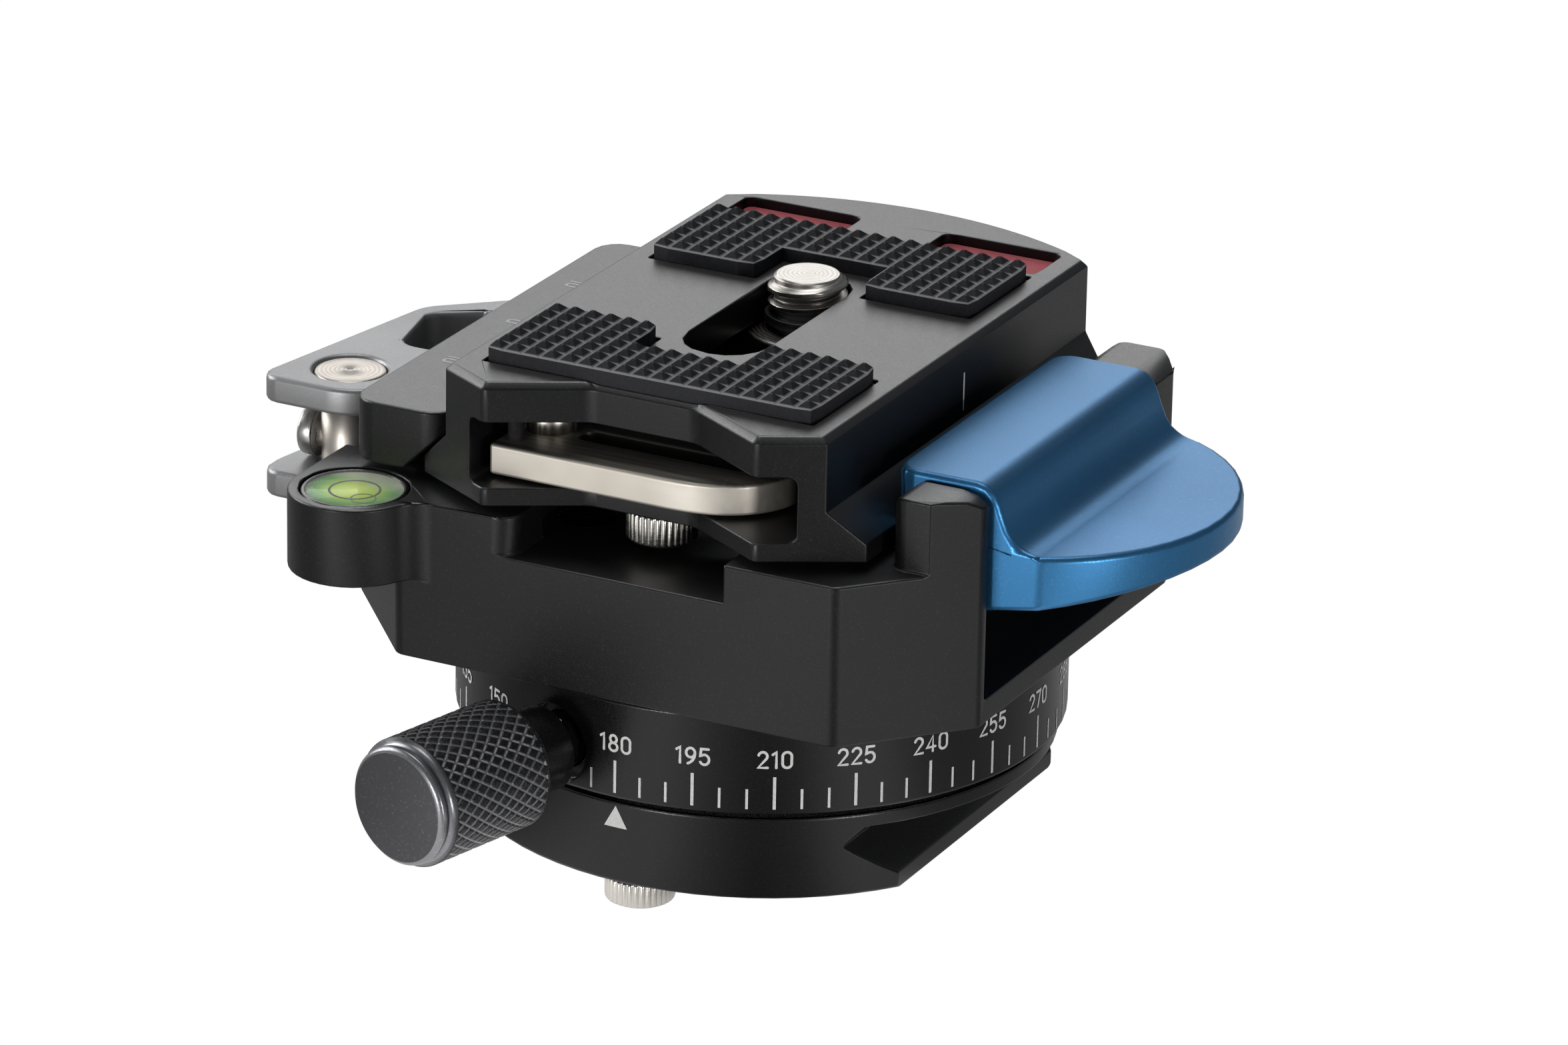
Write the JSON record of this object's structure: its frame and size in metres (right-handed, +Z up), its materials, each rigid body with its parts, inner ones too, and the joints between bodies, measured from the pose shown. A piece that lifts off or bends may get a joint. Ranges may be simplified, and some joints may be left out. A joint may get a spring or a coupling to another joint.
{
  "type": "quick release clamp",
  "caption": "Panning quick release clamp with degree dial, lock knob, bubble level, cam lever, snap lever, and a dovetail camera plate with rubber pads and strap loop.",
  "frame": {"origin": "on the pan axis, level with the flat underside of the base, at the mouth of its tripod thread", "axes": "+Z up along the pan axis, +X towards the snap lever, -Y towards the near face with the lock knob and the strap loop"},
  "size_m": [0.0763, 0.0696, 0.0433],
  "materials": {
    "black_anodised": "fine bead-blasted black anodising",
    "grey_anodised": "satin grey anodising",
    "knob_grey": "dark grey anodising with a diamond knurl",
    "blue_anodised": "satin blue anodising",
    "satin_steel": "satin stainless steel",
    "spring_steel": "plain dark steel",
    "bronze": "turned bearing bronze",
    "acetal": "natural acetal",
    "black_rubber": "moulded matt rubber with small pyramids",
    "red_rubber": "matt moulded rubber",
    "level_liquid": "clear yellow green liquid",
    "clear_glass": "clear cast acrylic"
  },
  "bodies": {
    "base": {"base_plate": "black_anodised", "base_bush": "satin_steel", "base_stop_pin_near": "satin_steel", "base_stop_pin_far": "satin_steel", "pan_spindle": "satin_steel", "spindle_screw_1": "spring_steel", "spindle_screw_2": "spring_steel", "spindle_screw_3": "spring_steel", "thrust_washer": "acetal", "preload_washer": "bronze", "preload_nut": "spring_steel"},
    "deck": {"dial_housing": "black_anodised", "lock_collar": "knob_grey", "clamp_body": "black_anodised", "housing_screw_1": "spring_steel", "housing_screw_2": "spring_steel", "housing_screw_3": "spring_steel", "housing_screw_4": "spring_steel", "bubble_cup": "black_anodised", "bubble_liquid": "level_liquid", "bubble_air": "clear_glass", "bubble_lens": "clear_glass", "lever_pin": "satin_steel", "lever_spring": "spring_steel", "cam_pin": "satin_steel", "tension_bolt": "spring_steel", "bolt_anchor": "satin_steel", "trigger_bush": "satin_steel", "trigger_spring": "spring_steel"},
    "knob": {"lock_knob": "knob_grey", "knob_cap": "grey_anodised", "lock_screw": "spring_steel"},
    "shoe": {"brake_shoe": "bronze"},
    "snap_lever": {"jaw_lever": "blue_anodised"},
    "cam": {"cam_lever": "grey_anodised"},
    "jaw": {"left_jaw": "black_anodised", "jaw_guide_pin_1": "satin_steel", "jaw_guide_pin_2": "satin_steel"},
    "plate": {"camera_plate": "black_anodised", "near_pad": "black_rubber", "far_pad": "black_rubber", "left_insert": "red_rubber", "right_insert": "red_rubber", "loop_pin": "satin_steel", "plate_stop_pin_near": "satin_steel", "plate_stop_pin_far": "satin_steel"},
    "loop": {"strap_loop": "satin_steel"},
    "screw_carriage": {"screw_clip": "spring_steel"},
    "screw": {"camera_screw": "satin_steel"},
    "trigger": {"trigger_plunger": "acetal"}
  },
  "joints": [
    {"name": "pan", "type": "hinge", "parent": "base", "child": "deck", "pos_m": [0, 0, 0], "axis": [0, 0, 1], "continuous": true},
    {"name": "lock_turn", "type": "hinge", "parent": "deck", "child": "knob", "pos_m": [0, 0, 0.01055], "axis": [0.2487, 0.9686, 0], "range_deg": [0, 240]},
    {"name": "shoe_press", "type": "slide", "parent": "deck", "child": "shoe", "axis": [0.2487, 0.9686, 0], "range_m": [0, 0.000205]},
    {"name": "lever_swing", "type": "hinge", "parent": "deck", "child": "snap_lever", "pos_m": [0.0236, 0, 0.0284], "axis": [0, 1, 0], "range_deg": [0, 22], "stiffness_Nm_per_rad": 0.05, "springref_deg": -20.05},
    {"name": "cam_turn", "type": "hinge", "parent": "deck", "child": "cam", "pos_m": [-0.03145, -0.0104, 0], "axis": [0, 0, 1], "range_deg": [0, 90]},
    {"name": "jaw_slide", "type": "slide", "parent": "deck", "child": "jaw", "axis": [-1, 0, 0], "range_m": [0, 0.000851]},
    {"name": "plate_slide", "type": "slide", "parent": "deck", "child": "plate", "axis": [0, 1, 0], "range_m": [-0.01, 0.01]},
    {"name": "loop_swing", "type": "hinge", "parent": "plate", "child": "loop", "pos_m": [-0.01095, -0.0207, 0], "axis": [0, 0, -1], "range_deg": [0, 95]},
    {"name": "screw_slide", "type": "slide", "parent": "plate", "child": "screw_carriage", "axis": [0, 1, 0], "range_m": [-0.0134, 0]},
    {"name": "screw_turn", "type": "hinge", "parent": "screw_carriage", "child": "screw", "pos_m": [0, 0.00675, 0], "axis": [0, 0, 1], "continuous": true},
    {"name": "trigger_press", "type": "slide", "parent": "deck", "child": "trigger", "axis": [0, 0, -1], "range_m": [0, 0.0012], "stiffness_N_per_m": 150, "springref_m": -0.001, "deforming": ["trigger_spring"]}
  ],
  "couplings": [
    {"joint": "shoe_press", "follows": "lock_turn", "m_per_rad": 0.000047746},
    {"joint": "jaw_slide", "follows": "cam_turn", "m_per_rad": 0.00054112}
  ]
}
